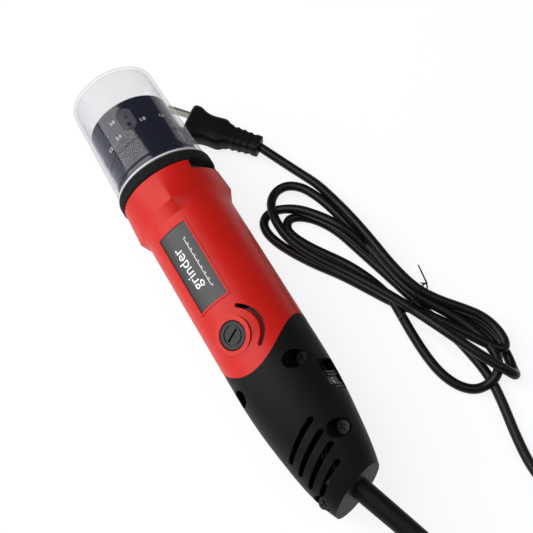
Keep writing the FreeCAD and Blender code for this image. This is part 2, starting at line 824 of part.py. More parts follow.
def disc_sink_y():
    """Where the disc's countersink reaches its bore."""
    return hub_front + disc_thickness - (disc_sink_radius - disc_bore) * disc_sink_slope


def diamond_disc():
    front = hub_front + disc_thickness
    edge = disc_radius - disc_bevel
    return turned([(disc_bore, hub_front), (edge, hub_front), (disc_radius, hub_front + disc_bevel),
                   (disc_radius, front - disc_bevel), (edge, front), (disc_sink_radius, front),
                   (disc_bore, disc_sink_y())])


def disc_screw():
    front = hub_front + disc_thickness
    neck_y = max(disc_sink_y(), hub_front + hub_nose) + fit_gap
    end, face = spindle_front - disc_screw_reach, front + disc_screw_face
    rim = disc_sink_radius - 0.5
    shape = turned([(0, end), (disc_screw_radius, end), (disc_screw_radius, neck_y), (disc_bore, neck_y),
                    (rim, front + fit_gap), (rim, face), (0, face)])
    corners = [math.radians(60 * i) for i in range(7)]
    hexagon = Part.Face(Part.makePolygon([V(hex_size * math.cos(a), face - hex_depth, hex_size * math.sin(a))
                                          for a in corners]))
    return shape.cut(hexagon.extrude(V(0, 2 * hex_depth, 0)))


nodes["disc_hub"] = disc_hub()
nodes["diamond_disc"] = diamond_disc()
nodes["disc_screw"] = disc_screw()


# ---- head: fixed base and turning guide

def head_base():
    hub_reach, bore, back = bore_radius - seat_gap, hub_radius + moving_gap, ring_back + 0.5
    seat, split = collar_seat_radius - running_gap, head_split_y - seat_gap
    seat_end = head_split_y + collar_seat_length
    shape = turned([(bore, back), (hub_reach, back), (hub_reach, flange_back),
                    (flange_radius - flange_edge, flange_back), (flange_radius, flange_back + flange_edge),
                    (flange_radius, flange_front), (spigot_radius, flange_front),
                    (spigot_radius, spigot_front), (head_radius, spigot_front), (head_radius, split),
                    (seat, split), (seat, seat_end),
                    (dust_pocket_radius, seat_end), (dust_pocket_radius, base_floor_front),
                    (bore, base_floor_front)])
    shape = shape.cut(Part.makeTorus(seal_ring_radius, seal_section, V(0, seal_y, 0), V(0, 1, 0)))
    shank = rod(head_screw_radius + 0.4, ring_back - 1, base_floor_front + 1, head_screw_circle, 0)
    sink = rod(head_screw_head_radius + 0.3, base_floor_back, base_floor_front + 1, head_screw_circle, 0)
    for i in range(4):
        shape = shape.cut(spun(shank, 45 + 90 * i)).cut(spun(sink, 45 + 90 * i))
    return shape


def cover_seal():
    """An O-ring in the groove of the head base's spigot."""
    return Part.makeTorus(seal_ring_radius, seal_section - running_gap, V(0, seal_y, 0), V(0, 1, 0))


def head_screws():
    circle, top = head_screw_circle, base_floor_back + head_screw_head
    shank = rod(head_screw_radius, carrier_front - head_screw_reach, base_floor_back, circle, 0)
    head = rod(head_screw_head_radius, base_floor_back, top, circle, 0)
    socket = rod(head_screw_socket[0], top - head_screw_socket[1], top + 1, circle, 0)
    screw = shank.fuse(head).cut(socket)
    return Part.makeCompound([spun(screw, 45 + 90 * i) for i in range(4)])


def port_outline(shrink, low, high):
    """A stadium-shaped prism along +Z, long in Y, over the port."""
    radius = port_width / 2 - shrink
    half = port_length / 2 - port_width / 2
    return merged([block((-radius, radius), (port_y - half, port_y + half), (low, high)),
                   post(radius, 0, port_y - half, low, high), post(radius, 0, port_y + half, low, high)])


def slanted_hole(radius, y):
    """A guide hole through the wall at +Z that slopes back towards the disc."""
    lean = math.radians(guide_tilt)
    direction = V(0, -math.sin(lean), -math.cos(lean))
    start = V(0, y, head_radius) - direction * 6
    return Part.makeCylinder(radius, 16, start, direction)


def guide_turret():
    top, roof = head_top_y, head_top_y - head_roof
    back = head_split_y
    step = back + collar_seat_length + 0.4
    shape = turned([(collar_seat_radius, back), (head_radius, back), (head_radius, top - head_edge),
                    (head_radius - head_edge, top), (0, top), (0, roof), (head_bore, roof), (head_bore, step),
                    (collar_seat_radius, step)])
    floor = head_radius - port_recess - port_plate_thickness
    pocket = port_outline(0.0, floor, head_radius + 2)
    through = post(port_hole_radius + 1, 0, port_y - port_hole_offset, head_bore - 4, head_radius)
    shape = shape.cut(spun(pocket, port_turn)).cut(spun(through, port_turn))
    for radius, turn in guide_holes:
        shape = shape.cut(spun(slanted_hole(radius, guide_y), port_turn + turn))
    groove = tube(head_radius + 1, head_radius - head_groove[0], back + head_groove[1], back - 1)
    return shape.cut(groove)


def port_plate():
    floor = head_radius - port_recess - port_plate_thickness
    face, hole_y = floor + port_plate_thickness, port_y - port_hole_offset
    plate = port_outline(fit_gap, floor, face)
    plate = plate.fuse(post(port_shoulder_radius, 0, hole_y, face - 0.2, face + 0.4))
    hole = post(port_hole_radius, 0, hole_y, floor - 1, face + 4)
    tab_x, tab_y, tab_rise = port_tab
    tab = block((-tab_x / 2, tab_x / 2), (port_y + 1.5, port_y + 1.5 + tab_y), (face - 0.2, face + tab_rise))
    return spun(plate.cut(hole).fuse(tab).removeSplitter(), port_turn)


nodes["head_base"] = head_base()
nodes["cover_seal"] = cover_seal()
nodes["head_screws"] = head_screws()
nodes["guide_turret"] = guide_turret()
nodes["port_plate"] = port_plate()


# ---- clear cover

def clear_cover():
    rim, end = cover_rim_y, cover_end_y
    lip = rim + cover_lip_width
    outer = turned([(0, rim), (cover_rim_radius + cover_lip, rim), (cover_rim_radius + cover_lip, lip),
                    (cover_rim_radius, lip + cover_lip), (cover_end_radius, end), (0, end)])
    edge = [e for e in outer.Edges if isinstance(e.Curve, Part.Circle) and abs(e.CenterOfMass.y - end) < 0.01]
    outer = outer.makeFillet(cover_round, edge)
    mouth, far = cover_rim_radius - cover_wall, cover_end_radius - cover_wall
    inner = turned([(0, rim - 1), (mouth, rim - 1), (mouth, rim), (far, end - cover_wall),
                    (0, end - cover_wall)])
    inner_edge = [e for e in inner.Edges if isinstance(e.Curve, Part.Circle)
                  and abs(e.CenterOfMass.y - (end - cover_wall)) < 0.01]
    return outer.cut(inner.makeFillet(cover_round - cover_wall, inner_edge))


nodes["clear_cover"] = clear_cover()


# ---- cord entry

def cord_sleeve():
    """A rubber strain relief: a flange inside the handle and a long tapered sleeve outside."""
    near, far = (handle_end_wall + place for place in sleeve_flange)
    shape = turned([(0, far), (sleeve_flange_radius, far), (sleeve_flange_radius, near),
                    (sleeve_base_radius, near), (sleeve_base_radius, -6),
                    (sleeve_tip_radius + 0.7, -sleeve_length + 8),
                    (sleeve_tip_radius, -sleeve_length + 1.2), (sleeve_tip_radius - 0.6, -sleeve_length),
                    (0, -sleeve_length)])
    return sleeve_placed(shape.cut(rod(cord_radius + running_gap, -sleeve_length - 1, far + 1)))


def cord_inner_end():
    """The sheathed cord inside the sleeve and under the clamp."""
    return sleeve_placed(rod(cord_radius, -sleeve_length, cord_bare_end))


def cord_clamp():
    """The bar that holds the cord down on the lower half's posts."""
    middle = sum(clamp_place) / 2
    bar = block((-clamp_half_width, clamp_half_width), clamp_place, clamp_height)
    bar = bar.cut(rod(cord_radius + running_gap, clamp_place[0] - 1, clamp_place[1] + 1))
    for x in (-clamp_screw_x, clamp_screw_x):
        bar = bar.cut(post(clamp_screw_radius + fit_gap, x, middle, clamp_height[0] - 1, clamp_height[1] + 1))
    return sleeve_placed(bar)


def clamp_screws():
    middle, top = sum(clamp_place) / 2, clamp_height[1]
    screws = []
    for x in (-clamp_screw_x, clamp_screw_x):
        shank = post(clamp_screw_radius - running_gap, x, middle, clamp_height[0] - clamp_screw_depth, top)
        head = post(clamp_screw_head[0], x, middle, top, top + clamp_screw_head[1])
        slot = block((x - clamp_screw_head[0], x + clamp_screw_head[0]), (middle - 0.3, middle + 0.3),
                     (top + clamp_screw_head[1] / 2, top + clamp_screw_head[1] + 1))
        screws.append(sleeve_placed(shank.fuse(head).cut(slot)))
    return Part.makeCompound(screws)


def bent_rod(route, radius):
    """A round rod along straight runs joined by tangent arcs; returns it with its path and bend radii."""
    edges, start, radii = [], route[0], []
    for before, point, after in zip(route, route[1:], route[2:]):
        back, ahead = (before - point), (after - point)
        reach = 0.45 * min(back.Length, ahead.Length)
        half_turn = (math.pi - back.getAngle(ahead)) / 2
        enter = point + back.normalize() * reach
        leave = point + ahead.normalize() * reach
        radii.append(reach / math.tan(half_turn))
        bisector = (back + ahead).normalize()
        middle = point + bisector * (radii[-1] / math.cos(half_turn) - radii[-1])
        edges.append(Part.LineSegment(start, enter).toShape())
        edges.append(Part.Arc(enter, middle, leave).toShape())
        start = leave
    edges.append(Part.LineSegment(start, route[-1]).toShape())
    path = Part.Wire(edges)
    ring = Part.Wire(Part.makeCircle(radius, route[0], route[1] - route[0]))
    return path.makePipeShell([ring], True, False), path, radii


def supply_wires():
    """The cord's two wires, from its bare end to the back of the switch."""
    case_back = (switch_front_y + switch_back_y) / 2 - switch_case_half
    wires = []
    for side in (1, -1):
        start = sleeve_placed(Part.Vertex(V(-wire_side * side, cord_bare_end, 0))).Point
        ahead = sleeve_placed(Part.Vertex(V(-wire_side * side, cord_bare_end + 6, 0))).Point
        end_x = switch_case_inner + 4
        route = [start, ahead, V(7, -172, 3 * side), V(end_x, case_back - 7, 4 * side),
                 V(end_x, case_back, 4 * side)]
        wires.append(bent_rod(route, wire_radius)[0])
    return Part.makeCompound(wires)


def motor_wires():
    """The two wires from the front of the switch to the brush frame."""
    case_front = (switch_front_y + switch_back_y) / 2 + switch_case_half
    plate_back = rear_bearing_y - frame_plate_half
    x = switch_case_inner + 3
    wires = []
    for side in (1, -1):
        route = [V(x, case_front, 4 * side), V(x, case_front + 4, 4 * side),
                 V(x + 1, plate_back - 4, 6 * side), V(x + 1, plate_back, 6 * side)]
        wires.append(bent_rod(route, wire_radius)[0])
    return Part.makeCompound(wires)


nodes["cord_sleeve"] = cord_sleeve()
nodes["cord_inner_end"] = cord_inner_end()
nodes["cord_clamp"] = cord_clamp()
nodes["clamp_screws"] = clamp_screws()
nodes["supply_wires"] = supply_wires()
nodes["motor_wires"] = motor_wires()

# ---- place the tool in its resting pose, with the origin under the middle of its box

def placed(shape, placement):
    return shape.transformed(placement.toMatrix())


roll = FreeCAD.Rotation(V(0, 1, 0), rest_roll)
tilt = FreeCAD.Rotation(V(1, 0, 0), rest_tilt)
turn_only = FreeCAD.Placement(V(0, 0, 0), tilt.multiply(roll))
tool = {name: placed(shape, turn_only) for name, shape in nodes.items()}
off_cord = [shape for name, shape in tool.items() if name not in ("cord_sleeve", "cord_inner_end")]
box = Part.makeCompound(off_cord).optimalBoundingBox(True, False)
shift = V(-(box.XMin + box.XMax) / 2, -(box.YMin + box.YMax) / 2, -box.ZMin)
resting = FreeCAD.Placement(shift, FreeCAD.Rotation())
nodes = {name: placed(shape, resting) for name, shape in tool.items()}


def at_rest(x, y, z):
    """A point of the tool frame, where it lies at rest."""
    return resting.multVec(turn_only.multVec(V(x, y, z)))


# ---- the free cord and its plug

sleeve_tip = sleeve_placed(Part.Vertex(V(0, -sleeve_length, 0))).Point
tail_route = [at_rest(*sleeve_tip)] + [V(*point) for point in tail_points]
plug_route = [V(*point) for point in plug_points]


def cord_tube(route, name):
    solid, path, radii = bent_rod(route, cord_radius)
    share = solid.Volume / (math.pi * cord_radius ** 2 * path.Length)
    print("%s: length %.1f mm, radii %s" % (name, path.Length, " ".join("%.0f" % r for r in radii)))
    print("   volume is %.4f of section times length" % share)
    return solid


def cord_hank():
    """The outer shape of the tied turns, waisted at the tie."""
    outline = Part.BSplineCurve()
    outline.interpolate([V(x, y, 0) for x, y in hank_outline], True)
    return Part.Face(Part.Wire(outline.toShape())).extrude(V(0, 0, hank_height))


def cord_tie():
    """The wire tie over the hank's waist, down to the table on both sides, with its twisted end."""
    low, high, out = fit_gap, hank_height + tie_wire_radius + fit_gap, tie_half_width
    corner = 2 * tie_corner
    route = [V(-out, 0, low), V(-out, 0, high - corner), V(-out + corner / 2, 0, high),
             V(out - corner / 2, 0, high), V(out, 0, high - corner), V(out, 0, low)]
    loop = bent_rod(route, tie_wire_radius)[0]
    end = Part.makeCylinder(tie_wire_radius, tie_end_length, V(out - corner, 0, high), V(*tie_end_way))
    shape = loop.fuse(end).removeSplitter()
    shape.rotate(V(0, 0, 0), V(0, 0, 1), tie_turn)
    shape.translate(V(*tie_middle, 0))
    return shape


def plug_placed(shape):
    """Takes a shape built along +Y, with the plug's face at the origin, to the plug's place."""
    heading = plug_face - plug_route[0]
    copy = shape.copy()
    copy.rotate(V(0, 0, 0), V(0, 0, 1), math.degrees(math.atan2(heading.y, heading.x)) - 90)
    copy.translate(plug_face)
    return copy


def plug_body():
    length = V(plug_face.x - plug_route[0].x, plug_face.y - plug_route[0].y, 0).Length
    width, height = plug_width / 2, plug_height / 2
    head = block((-width, width), (-plug_head_length, 0), (-height, height))
    long_edges = [e for e in head.Edges if abs(e.CenterOfMass.y + plug_head_length / 2) < 0.01]
    head = head.makeFillet(plug_head_round, long_edges)
    grip_width, grip_height = plug_grip_width / 2, plug_grip_height / 2
    grip = block((-grip_width, grip_width), (-length, -plug_head_length + 1), (-grip_height, grip_height))
    grip_middle = (length + plug_head_length - 1) / 2
    long_edges = [e for e in grip.Edges if abs(e.CenterOfMass.y + grip_middle) < 0.1]
    grip = grip.makeFillet(plug_grip_round, long_edges)
    return plug_placed(head.fuse(grip).removeSplitter())


def plug_blades():
    thick, reach, wide = blade_size
    blades = []
    for side in (-1, 1):
        middle = side * blade_pitch / 2
        blades.append(block((middle - thick / 2, middle + thick / 2), (0, reach), (-wide / 2, wide / 2)))
    return plug_placed(Part.makeCompound(blades))


nodes["cord_tail_lead"] = cord_tube(tail_route, "tail lead")
nodes["cord_hank"] = cord_hank()
nodes["cord_tie"] = cord_tie()
nodes["cord_plug_lead"] = cord_tube(plug_route, "plug lead")
nodes["plug_body"] = plug_body()
nodes["plug_blades"] = plug_blades()

# ---- write one file per node

for name, shape in nodes.items():
    solids = shape.Solids
    if not shape.isValid() or not solids:
        print("fault in", name)
    shape.exportStep("parts/" + name + ".step")
    print("%-28s %2d solids %10.1f mm3" % (name, len(solids), sum(s.Volume for s in solids)))
for label, point in (("axis at ring", at_rest(0, 0, 0)), ("switch", at_rest(slider_top, slider_off_y, 0)),
                     ("sleeve tip", at_rest(*sleeve_tip)), ("plug face", plug_face)):
    print("%s: %.3f %.3f %.3f" % (label, point.x, point.y, point.z))
for label, way in (("nose", V(0, 1, 0)), ("switch side", V(1, 0, 0)), ("brush side", V(0, 0, 1))):
    turned_way = turn_only.multVec(way)
    print("%s: %.6f %.6f %.6f" % (label, turned_way.x, turned_way.y, turned_way.z))
plug_way = (plug_face - V(plug_route[0].x, plug_route[0].y, plug_face.z)).normalize()
print("plug way: %.6f %.6f %.6f" % (plug_way.x, plug_way.y, plug_way.z))
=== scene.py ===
import json
import math

import bpy
from mathutils import Matrix, Vector


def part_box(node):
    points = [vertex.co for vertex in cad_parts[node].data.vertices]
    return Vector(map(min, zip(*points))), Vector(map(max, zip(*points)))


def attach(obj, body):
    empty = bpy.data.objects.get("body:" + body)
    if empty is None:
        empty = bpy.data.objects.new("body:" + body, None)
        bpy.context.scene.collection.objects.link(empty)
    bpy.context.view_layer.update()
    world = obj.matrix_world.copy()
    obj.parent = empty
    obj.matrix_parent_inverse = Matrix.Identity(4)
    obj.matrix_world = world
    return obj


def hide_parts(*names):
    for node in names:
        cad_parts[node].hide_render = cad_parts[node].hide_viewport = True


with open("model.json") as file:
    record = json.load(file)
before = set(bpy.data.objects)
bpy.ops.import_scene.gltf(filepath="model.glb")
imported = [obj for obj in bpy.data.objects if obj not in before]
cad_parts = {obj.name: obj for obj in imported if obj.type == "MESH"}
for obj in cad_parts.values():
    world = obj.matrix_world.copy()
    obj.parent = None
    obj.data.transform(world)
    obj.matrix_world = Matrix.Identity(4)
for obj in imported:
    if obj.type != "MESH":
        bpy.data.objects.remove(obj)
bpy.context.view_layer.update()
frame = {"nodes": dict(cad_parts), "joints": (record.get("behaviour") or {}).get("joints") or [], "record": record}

nodes = frame["nodes"]
scene = bpy.context.scene
joints = {joint["name"]: joint for joint in frame["joints"]}

# the tool's own axes at rest: noseWay along the spindle, brushWay to the brush cap, switchWay to the switch
ringCentre = Vector(joints["spindle_spin"]["pos_m"])
noseWay = Vector(joints["spindle_spin"]["axis"]).normalized()
capLow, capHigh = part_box("brush_cap_upper")
toCap = (capLow + capHigh) / 2 - ringCentre
brushWay = (toCap - noseWay * toCap.dot(noseWay)).normalized()
switchWay = noseWay.cross(brushWay).normalized()
toolTurn = Matrix((switchWay, noseWay, brushWay)).transposed().to_4x4()
toolPlace = Matrix.Translation(ringCentre) @ toolTurn    # takes tool x, y, z to the frame

# camera

camera = {"azimuth": -30.2, "elevation": 65.3, "distance": 0.5454, "aim": (0.0317, 0.0067, 0.0),
          "lens": 60.8, "sensor": 36}


def addCamera():
    data = bpy.data.cameras.new("mainCamera")
    data.lens = camera["lens"]
    data.sensor_width = camera["sensor"]
    turn, rise = math.radians(camera["azimuth"]), math.radians(camera["elevation"])
    outward = Vector((math.sin(turn) * math.cos(rise), -math.cos(turn) * math.cos(rise), math.sin(rise)))
    item = bpy.data.objects.new("mainCamera", data)
    item.location = Vector(camera["aim"]) + outward * camera["distance"]
    item.rotation_euler = outward.to_track_quat("Z", "Y").to_euler()
    scene.collection.objects.link(item)
    scene.camera = item


addCamera()
print("camera set")

# shader helper: a material's nodes, and arithmetic on their sockets


class Link:
    def __init__(self, paint, socket):
        self.paint = paint
        self.socket = socket

    def combine(self, operation, other):
        return self.paint.node("ShaderNodeMath", {"operation": operation}, {0: self, 1: other})

    def __add__(self, other):
        return self.combine("ADD", other)

    __radd__ = __add__

    def __mul__(self, other):
        return self.combine("MULTIPLY", other)

    __rmul__ = __mul__


class Paint:
    noiseRange = (0.3, 0.7)      # nearly all of a noise lies between these two

    def __init__(self, name):
        self.material = bpy.data.materials.new(name)
        self.material.use_nodes = True
        self.tree = self.material.node_tree
        self.shader = self.tree.nodes["Principled BSDF"]

    def node(self, kind, settings=None, sockets=None, out=0):
        item = self.tree.nodes.new(kind)
        for key, value in (settings or {}).items():
            setattr(item, key, value)
        for key, value in (sockets or {}).items():
            self.feed(item.inputs[key], value)
        return Link(self, item.outputs[out])

    def feed(self, socket, value):
        if isinstance(value, Link):
            self.tree.links.new(value.socket, socket)
        elif isinstance(value, tuple) and len(value) == 3 and socket.type == "RGBA":
            socket.default_value = (*value, 1)
        else:
            socket.default_value = value

    def set(self, **sockets):
        for key, value in sockets.items():
            self.feed(self.shader.inputs[key.replace("_", " ")], value)

    def place(self):
        return self.node("ShaderNodeTexCoord", out="Object")

    def noise(self, size, detail=2.0, rough=0.5):
        return self.node("ShaderNodeTexNoise", None, {"Vector": self.place(), "Scale": 1 / size,
                                                      "Detail": detail, "Roughness": rough})

    def mix(self, factor, first, second):
        sockets = {"Factor": factor, "A": first, "B": second}
        return self.node("ShaderNodeMix", {"data_type": "RGBA"}, sockets, out="Result")

    def bump(self, height, distance, strength=1.0):
        sockets = {"Height": height, "Distance": distance, "Strength": strength}
        return self.node("ShaderNodeBump", None, sockets)

    def between(self, value, low, high, toLow=0.0, toHigh=1.0):
        return self.node("ShaderNodeMapRange", None, {"Value": value, "From Min": low, "From Max": high,
                                                      "To Min": toLow, "To Max": toHigh})

    def spread(self, noise, toLow, toHigh):
        return self.between(noise, *self.noiseRange, toLow, toHigh)


# the cord, as it lies on the table, from the sleeve's tip to the plug

cord = {"diameter": 0.0058, "length": 1.49, "order": 3, "steps": 6, "roundness": 5}

# the route in metres: out of the handle, round and back, then up and down the tied hank, then to the plug
tailPoints = [(0.022677, -0.193618, 0.028154), (0.028, -0.20934, 0.02785), (0.0346, -0.2249, 0.0226),
              (0.0465, -0.2362, 0.0166), (0.0625, -0.2406, 0.0108), (0.0785, -0.237, 0.0064),
              (0.091, -0.2264, 0.0039), (0.0972, -0.2114, 0.003), (0.0975, -0.193, 0.003),
              (0.095, -0.173, 0.003), (0.0985, -0.153, 0.003), (0.1035, -0.134, 0.0032)]
hankPoints = [(0.106, -0.118, 0.004), (0.105, -0.1, 0.003), (0.102, -0.083, 0.003),
              (0.097, -0.066, 0.003), (0.094, -0.052, 0.004), (0.09, -0.033, 0.003),
              (0.085, -0.013, 0.003), (0.081, 0.004, 0.003), (0.074, 0.017, 0.003),
              (0.066, 0.0245, 0.003), (0.059, 0.0265, 0.003), (0.0545, 0.022, 0.003),
              (0.055, 0.015, 0.003), (0.06, 0.004, 0.003), (0.067, -0.007, 0.003),
              (0.074, -0.019, 0.004), (0.08, -0.034, 0.005), (0.084, -0.05, 0.005),
              (0.0835, -0.063, 0.003), (0.0825, -0.075, 0.003), (0.082, -0.089, 0.003),
              (0.083, -0.102, 0.003), (0.087, -0.113, 0.003), (0.0935, -0.12, 0.003),
              (0.101, -0.122, 0.004), (0.108, -0.121, 0.008), (0.1135, -0.115, 0.0095),
              (0.1155, -0.105, 0.009), (0.113, -0.091, 0.0085), (0.107, -0.077, 0.0085),
              (0.1, -0.065, 0.009), (0.094, -0.053, 0.01), (0.091, -0.036, 0.009),
              (0.0895, -0.018, 0.009), (0.0865, 0.0, 0.009), (0.084, 0.017, 0.009),
              (0.08, 0.031, 0.0085), (0.0755, 0.04, 0.008), (0.069, 0.0455, 0.007),
              (0.0615, 0.046, 0.006), (0.055, 0.0415, 0.006), (0.051, 0.033, 0.0085),
              (0.0495, 0.024, 0.0095), (0.05, 0.014, 0.009), (0.054, 0.002, 0.0085),
              (0.061, -0.0105, 0.008), (0.069, -0.023, 0.008), (0.077, -0.038, 0.009),
              (0.0845, -0.053, 0.0095), (0.09, -0.066, 0.01), (0.095, -0.082, 0.014),
              (0.101, -0.098, 0.015), (0.107, -0.112, 0.015), (0.1125, -0.1215, 0.014),
              (0.117, -0.1265, 0.0095), (0.1195, -0.1225, 0.0045), (0.123, -0.112, 0.003),
              (0.1235, -0.099, 0.003), (0.1195, -0.086, 0.003), (0.112, -0.074, 0.004),
              (0.103, -0.062, 0.005), (0.0965, -0.049, 0.0045), (0.0925, -0.031, 0.005),
              (0.087, -0.014, 0.009), (0.081, 0.001, 0.0145), (0.0735, 0.015, 0.0125),
              (0.066, 0.027, 0.009), (0.057, 0.0345, 0.005), (0.0495, 0.036, 0.003),
              (0.044, 0.032, 0.003), (0.0425, 0.025, 0.003), (0.0445, 0.016, 0.003),
              (0.0495, 0.005, 0.003), (0.057, -0.008, 0.003), (0.067, -0.022, 0.003),
              (0.076, -0.038, 0.003), (0.084, -0.053, 0.0035), (0.091, -0.063, 0.006),
              (0.099, -0.076, 0.0085), (0.107, -0.09, 0.009), (0.114, -0.102, 0.009),
              (0.119, -0.1095, 0.009), (0.1235, -0.1085, 0.009), (0.125, -0.099, 0.009),
              (0.122, -0.087, 0.009), (0.114, -0.0765, 0.0095), (0.1045, -0.066, 0.011),
              (0.0965, -0.0535, 0.013), (0.0925, -0.0355, 0.0145), (0.0912, -0.0155, 0.0145),
              (0.0895, 0.003, 0.014)]
plugPoints = [(0.0875, 0.0195, 0.012), (0.0855, 0.036, 0.0085), (0.0805, 0.05, 0.0065),
              (0.0745, 0.0645, 0.0065), (0.0682, 0.0786, 0.0075)]


def layCord():
    line = bpy.data.curves.new("mainsCord", "CURVE")
    line.dimensions = "3D"
    route = tailPoints + hankPoints + plugPoints
    spline = line.splines.new("NURBS")
    spline.points.add(len(route) - 1)
    for point, place in zip(spline.points, route):
        point.co = (*place, 1)
    spline.order_u = cord["order"]
    spline.use_endpoint_u = True
    line.resolution_u = cord["steps"]
    line.bevel_depth = cord["diameter"] / 2
    line.bevel_resolution = cord["roundness"]
    line.use_fill_caps = True
    item = bpy.data.objects.new("mainsCord", line)
    scene.collection.objects.link(item)
    return item


mainsCord = layCord()
print("cord laid")

# modelling helpers


def startFresh():
    if bpy.context.object and bpy.context.object.mode != "OBJECT":
        bpy.ops.object.mode_set(mode="OBJECT")
    bpy.ops.object.select_all(action="DESELECT")


def selectOnly(*items):
    startFresh()
    for item in items:
        item.select_set(True)
    bpy.context.view_layer.objects.active = items[0]


def finishPiece(item, name, place=None):
    selectOnly(item)
    if item.type != "MESH":
        bpy.ops.object.convert(target="MESH")
        item = bpy.context.object
    if place is not None:
        item.matrix_world = place @ item.matrix_world
    bpy.ops.object.transform_apply(location=True, rotation=True, scale=True)
    item.name = name
    item.data.name = name
    return item


def addModifier(item, kind, **settings):
    modifier = item.modifiers.new(kind.title(), kind)
    for key, value in settings.items():
        setattr(modifier, key, value)
    selectOnly(item)
    bpy.ops.object.modifier_apply(modifier=modifier.name)


def smooth(item, angle):
    selectOnly(item)
    bpy.ops.object.shade_smooth_by_angle(angle=math.radians(angle))


def joined(parts):
    selectOnly(*parts)
    bpy.ops.object.join()
    return bpy.context.object


def wrapOnTool(item, radius, middleY, degrees=0.0, lift=0.0):
    middle = math.radians(degrees)
    for vertex in item.data.vertices:      # x runs round the spindle axis, y along it
        angle = middle + vertex.co.x / radius
        out = radius + lift + vertex.co.z
        vertex.co = (out * math.sin(angle), middleY + vertex.co.y, out * math.cos(angle))


def paintWith(item, material):
    item.data.materials.clear()
    item.data.materials.append(material)


# plug: a head that holds the blades, waisted, then a ribbed grip

plug = {"face": (0.0372, 0.1164, 0.0075), "tail": (0.0682, 0.0786, 0.0075),
        # how far behind the face, half width, half height
        "sections": [(0.0, 0.0129, 0.0070), (0.0012, 0.0135, 0.0075), (0.0046, 0.0134, 0.0075),
                     (0.0072, 0.0117, 0.0073), (0.0105, 0.0101, 0.0070), (0.0145, 0.0096, 0.0068),
                     (0.0190, 0.0099, 0.0068), (0.0222, 0.0103, 0.0067), (0.0246, 0.0098, 0.0065),
                     (0.0262, 0.0082, 0.0062), (0.0285, 0.0077, 0.0060), (0.0340, 0.0074, 0.0059),
                     (0.0400, 0.0069, 0.0057), (0.0460, 0.0064, 0.0055), (0.0482, 0.0063, 0.0055),
                     (0.0490, 0.0062, 0.0054), (0.0494, 0.0057, 0.0050)],
        "sides": 24, "startDepth": 0.0004, "corner": 4, "backFacing": -0.9, "rounding": 2, "shade": 40,
        "ribs": 4, "ribPitch": 0.0044, "ribFirst": 0.0285, "ribDepth": 0.0009, "rimStart": 0.0010}


def startPlug():
    wide, high = plug["sections"][0][1:]
    startFresh()
    bpy.ops.mesh.primitive_cylinder_add(vertices=plug["sides"], radius=1, depth=plug["startDepth"],
                                        end_fill_type="NGON", rotation=(math.radians(90), 0, 0))
    item = bpy.context.object
    bpy.ops.object.mode_set(mode="EDIT")
    bpy.ops.mesh.select_all(action="SELECT")
    bpy.ops.transform.resize(value=(wide, 1, high))
    bpy.ops.object.mode_set(mode="OBJECT")
    finishPiece(item, "plugBody")
    for vertex in item.data.vertices:     # a rounded rectangle instead of an ellipse
        x, z = vertex.co.x / wide, vertex.co.z / high
        reach = (abs(x) ** plug["corner"] + abs(z) ** plug["corner"]) ** (1 / plug["corner"])
        vertex.co.x, vertex.co.z = x / reach * wide, z / reach * high
    return item


def cutRibs(item):
    for vertex in item.data.vertices:      # shallow grooves between the grip's ribs
        behind = -vertex.co.y - plug["ribFirst"]
        if 0 < behind < plug["ribs"] * plug["ribPitch"]:
            wave = 0.5 - 0.5 * math.cos(2 * math.pi * behind / plug["ribPitch"])
            shrink = 1 - plug["ribDepth"] * wave / math.hypot(vertex.co.x, vertex.co.z)
            vertex.co.x *= shrink
            vertex.co.z *= shrink


def makePlug():
    item = startPlug()
    last = plug["sections"][0]
    bpy.ops.object.mode_set(mode="EDIT")
    bpy.ops.mesh.select_all(action="DESELECT")
    bpy.ops.object.mode_set(mode="OBJECT")
    for face in item.data.polygons:
        face.select = face.normal.y < plug["backFacing"]
    for section in plug["sections"][1:]:
        bpy.ops.object.mode_set(mode="EDIT")
        step = (0, -(section[0] - last[0]), 0)
        bpy.ops.mesh.extrude_region_move(TRANSFORM_OT_translate={"value": step})
        bpy.ops.transform.resize(value=(section[1] / last[1], 1, section[2] / last[2]))
        bpy.ops.object.mode_set(mode="OBJECT")
        last = section
    addModifier(item, "SUBSURF", levels=plug["rounding"], render_levels=plug["rounding"])
    cutRibs(item)
    heading = Vector(plug["face"]) - Vector(plug["tail"])
    turn = Matrix.Rotation(math.atan2(heading.y, heading.x) - math.pi / 2, 4, "Z")
    finishPiece(item, "plugBody", Matrix.Translation(Vector(plug["face"])) @ turn)
    smooth(item, plug["shade"])
    return item


plugBody = makePlug()
print("plug made")

# wire tie round the hank's waist

tie = {"centre": (0.0926, -0.0596, 0.0088), "turn": 18.8, "wide": 0.0132, "high": 0.0083, "wire": 0.0005,
       "corner": 2.6, "twist": 0.0012, "tube": 0.06, "around": 64, "sides": 10, "shade": 60,
       # length, lean and swing of each twisted end
       "ends": [(0.012, -74, -24), (0.004, -80, 38)],
       "taper": 0.8, "rootWide": 0.86, "rootHigh": 0.8}


def tieEnd(length, lean, swing):
    startFresh()
    bpy.ops.mesh.primitive_cone_add(vertices=tie["sides"], radius1=tie["wire"],
                                    radius2=tie["wire"] * tie["taper"], depth=length)
    root = Matrix.Translation((tie["wide"] * tie["rootWide"], 0, tie["high"] * tie["rootHigh"]))
    way = Matrix.Rotation(math.radians(swing), 4, "Z") @ Matrix.Rotation(math.radians(lean), 4, "X")
    return finishPiece(bpy.context.object, "tieEnd", root @ way @ Matrix.Translation((0, 0, length / 2)))


